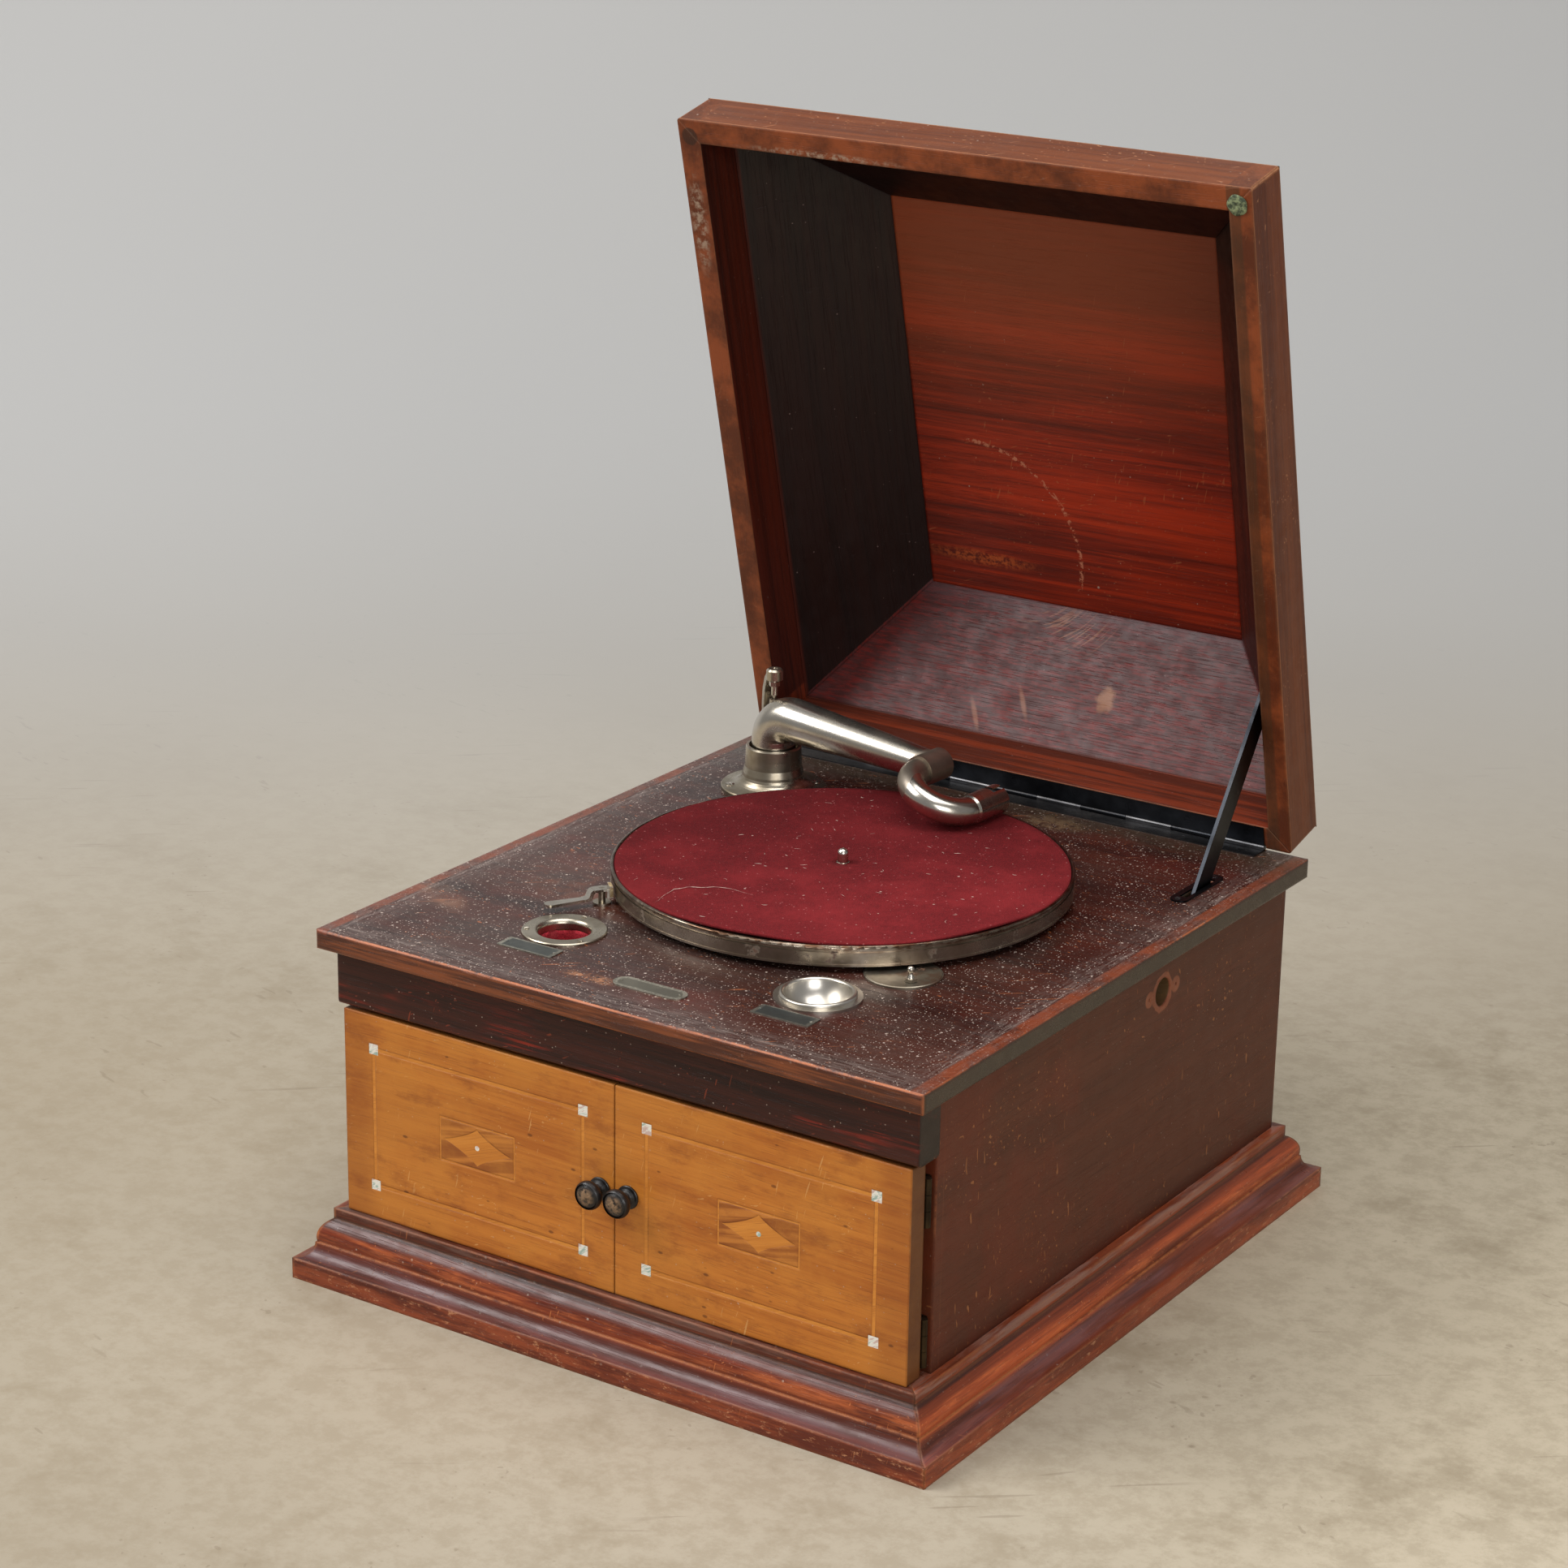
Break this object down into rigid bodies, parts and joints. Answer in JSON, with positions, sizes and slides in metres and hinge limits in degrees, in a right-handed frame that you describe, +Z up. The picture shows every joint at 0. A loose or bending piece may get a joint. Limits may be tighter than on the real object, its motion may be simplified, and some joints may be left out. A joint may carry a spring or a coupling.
{
  "type": "table gramophone",
  "caption": "Spring-driven table gramophone: hipped lid on a long hinge, felt turntable, swinging tonearm with gooseneck, internal horn behind inlaid doors, moulded plinth.",
  "frame": {"origin": "on the floor under the middle of the deck board", "axes": "+X to the right seen from the front, +Y to the back, +Z up; the doors face -Y"},
  "size_m": [0.487, 0.603, 0.7224],
  "materials": {
    "plinth_wood": "french polished mahogany, worn",
    "case_wood": "french polished, faded",
    "inner_wood": "plain softwood",
    "rail_wood": "dark polished",
    "deck_wood": "dark stained, dusty and scratched",
    "door_wood": "golden polished veneer",
    "line_wood": "light stringing",
    "lid_wood": "french polished mahogany",
    "lid_panel_wood": "red polished panel",
    "knob_wood": "ebonised, worn",
    "pearl": "mother-of-pearl",
    "nickel": "old nickel plate with rust spots",
    "dull_steel": "dull, oiled",
    "plate_metal": "tarnished",
    "motor_iron": "painted casting",
    "horn_sheet": "dark paint",
    "hinge_brass": "tarnished",
    "gear_brass": "machined",
    "bush_rubber": "perished",
    "felt": "crimson felt, linty",
    "red_cloth": "cloth"
  },
  "bodies": {
    "cabinet": {"plinth_front_back": "plinth_wood", "plinth_sides": "plinth_wood", "bottom_board": "inner_wood", "left_side": "case_wood", "right_side": "case_wood", "back_panel": "inner_wood", "frieze_rail": "rail_wood", "deck": "deck_wood", "horn_mouth_board": "inner_wood", "horn": "horn_sheet", "horn_elbow": "motor_iron", "hinge_deck_leaf": "dull_steel", "stay_plate": "dull_steel", "needle_cup": "nickel", "needle_ring": "nickel", "needle_well": "red_cloth", "deck_plates": "plate_metal", "speed_dial": "nickel", "tonearm_base": "nickel", "pivot_screw": "nickel", "motor_top_plate": "motor_iron", "motor_bottom_plate": "motor_iron", "motor_pillars": "dull_steel", "motor_bolts": "dull_steel", "motor_bushes": "bush_rubber", "door_hinge_frames": "hinge_brass", "brake_post": "nickel"},
    "lid": {"lid_rim_sides": "lid_wood", "lid_rim_ends": "lid_wood", "lid_slopes_sides": "lid_wood", "lid_slopes_ends": "lid_wood", "lid_top": "lid_panel_wood", "hinge_lid_leaf": "dull_steel", "lid_buffer": "red_cloth", "stay_stud": "dull_steel"},
    "stay": {"lid_stay": "dull_steel"},
    "left_door": {"left_door": "door_wood", "left_door_lines": "line_wood", "left_door_pearls": "pearl", "left_knob": "knob_wood", "left_door_hinges": "hinge_brass"},
    "right_door": {"right_door": "door_wood", "right_door_lines": "line_wood", "right_door_pearls": "pearl", "right_knob": "knob_wood", "right_door_hinges": "hinge_brass"},
    "turntable": {"platter": "nickel", "platter_felt": "felt", "spindle": "nickel"},
    "intermediate": {"intermediate_gear": "gear_brass"},
    "barrel": {"spring_barrel": "dull_steel"},
    "arbor": {"barrel_arbor": "dull_steel"},
    "click": {"ratchet_click": "dull_steel"},
    "winder": {"winding_shaft": "dull_steel"},
    "governor": {"governor_shaft": "dull_steel", "governor_weights": "gear_brass"},
    "speed": {"speed_lever": "nickel"},
    "brake": {"brake_lever": "nickel"},
    "arm": {"tonearm": "nickel"},
    "neck": {"gooseneck": "nickel"}
  },
  "joints": [
    {"name": "lid_hinge", "type": "hinge", "parent": "cabinet", "child": "lid", "pos_m": [0, 0.2435, 0.2462], "axis": [1, 0, 0], "range_deg": [0, 76.3]},
    {"name": "stay_pivot", "type": "hinge", "parent": "lid", "child": "stay", "pos_m": [0.195, 0.23642, 0.36181], "axis": [1, 0, 0], "range_deg": [-19.1, 0]},
    {"name": "left_door_hinge", "type": "hinge", "parent": "cabinet", "child": "left_door", "pos_m": [-0.2135, -0.21635, 0.119], "axis": [0, 0, -1], "range_deg": [0, 105]},
    {"name": "right_door_hinge", "type": "hinge", "parent": "cabinet", "child": "right_door", "pos_m": [0.2135, -0.21635, 0.119], "axis": [0, 0, 1], "range_deg": [0, 105]},
    {"name": "turntable_spin", "type": "hinge", "parent": "cabinet", "child": "turntable", "pos_m": [0.004, 0.012, 0.2544], "axis": [0, 0, 1], "continuous": true},
    {"name": "intermediate_spin", "type": "hinge", "parent": "cabinet", "child": "intermediate", "pos_m": [0.01919, 0.04464, 0.16], "axis": [0, 0, 1], "continuous": true},
    {"name": "barrel_spin", "type": "hinge", "parent": "cabinet", "child": "barrel", "pos_m": [0.06, 0.0636, 0.175], "axis": [0, 0, 1], "continuous": true},
    {"name": "governor_spin", "type": "hinge", "parent": "cabinet", "child": "governor", "pos_m": [0.004, -0.017, 0.187], "axis": [1, 0, 0], "continuous": true},
    {"name": "arbor_wind", "type": "hinge", "parent": "cabinet", "child": "arbor", "pos_m": [0.06, 0.0636, 0.2], "axis": [0, 0, 1], "continuous": true},
    {"name": "crank_shaft_wind", "type": "hinge", "parent": "cabinet", "child": "winder", "pos_m": [0.15, 0.0636, 0.2046], "axis": [1, 0, 0], "continuous": true},
    {"name": "click_rock", "type": "hinge", "parent": "cabinet", "child": "click", "pos_m": [0.042, 0.0716, 0.222], "axis": [0, 0, 1], "range_deg": [0, 12]},
    {"name": "speed_turn", "type": "hinge", "parent": "cabinet", "child": "speed", "pos_m": [0.1299, -0.1047, 0.2444], "axis": [0, 0, 1], "range_deg": [-1.6, 0]},
    {"name": "brake_swing", "type": "hinge", "parent": "cabinet", "child": "brake", "pos_m": [-0.1071, -0.1035, 0.2494], "axis": [0, 0, 1], "range_deg": [0, 16]},
    {"name": "tonearm_swing", "type": "hinge", "parent": "cabinet", "child": "arm", "pos_m": [-0.1472, 0.1552, 0.2744], "axis": [0, 0, 1], "range_deg": [-62, 2]},
    {"name": "gooseneck_flip", "type": "hinge", "parent": "arm", "child": "neck", "pos_m": [-0.00873, 0.14308, 0.2911], "axis": [-0.0872, -0.9962, 0], "range_deg": [0, 150]}
  ],
  "couplings": [
    {"joint": "stay_pivot", "follows": "lid_hinge", "ratio": -0.25},
    {"joint": "intermediate_spin", "follows": "turntable_spin", "ratio": -0.2},
    {"joint": "barrel_spin", "follows": "turntable_spin", "ratio": 0.030769},
    {"joint": "governor_spin", "follows": "turntable_spin", "ratio": -12},
    {"joint": "crank_shaft_wind", "follows": "arbor_wind", "ratio": 1.625}
  ]
}
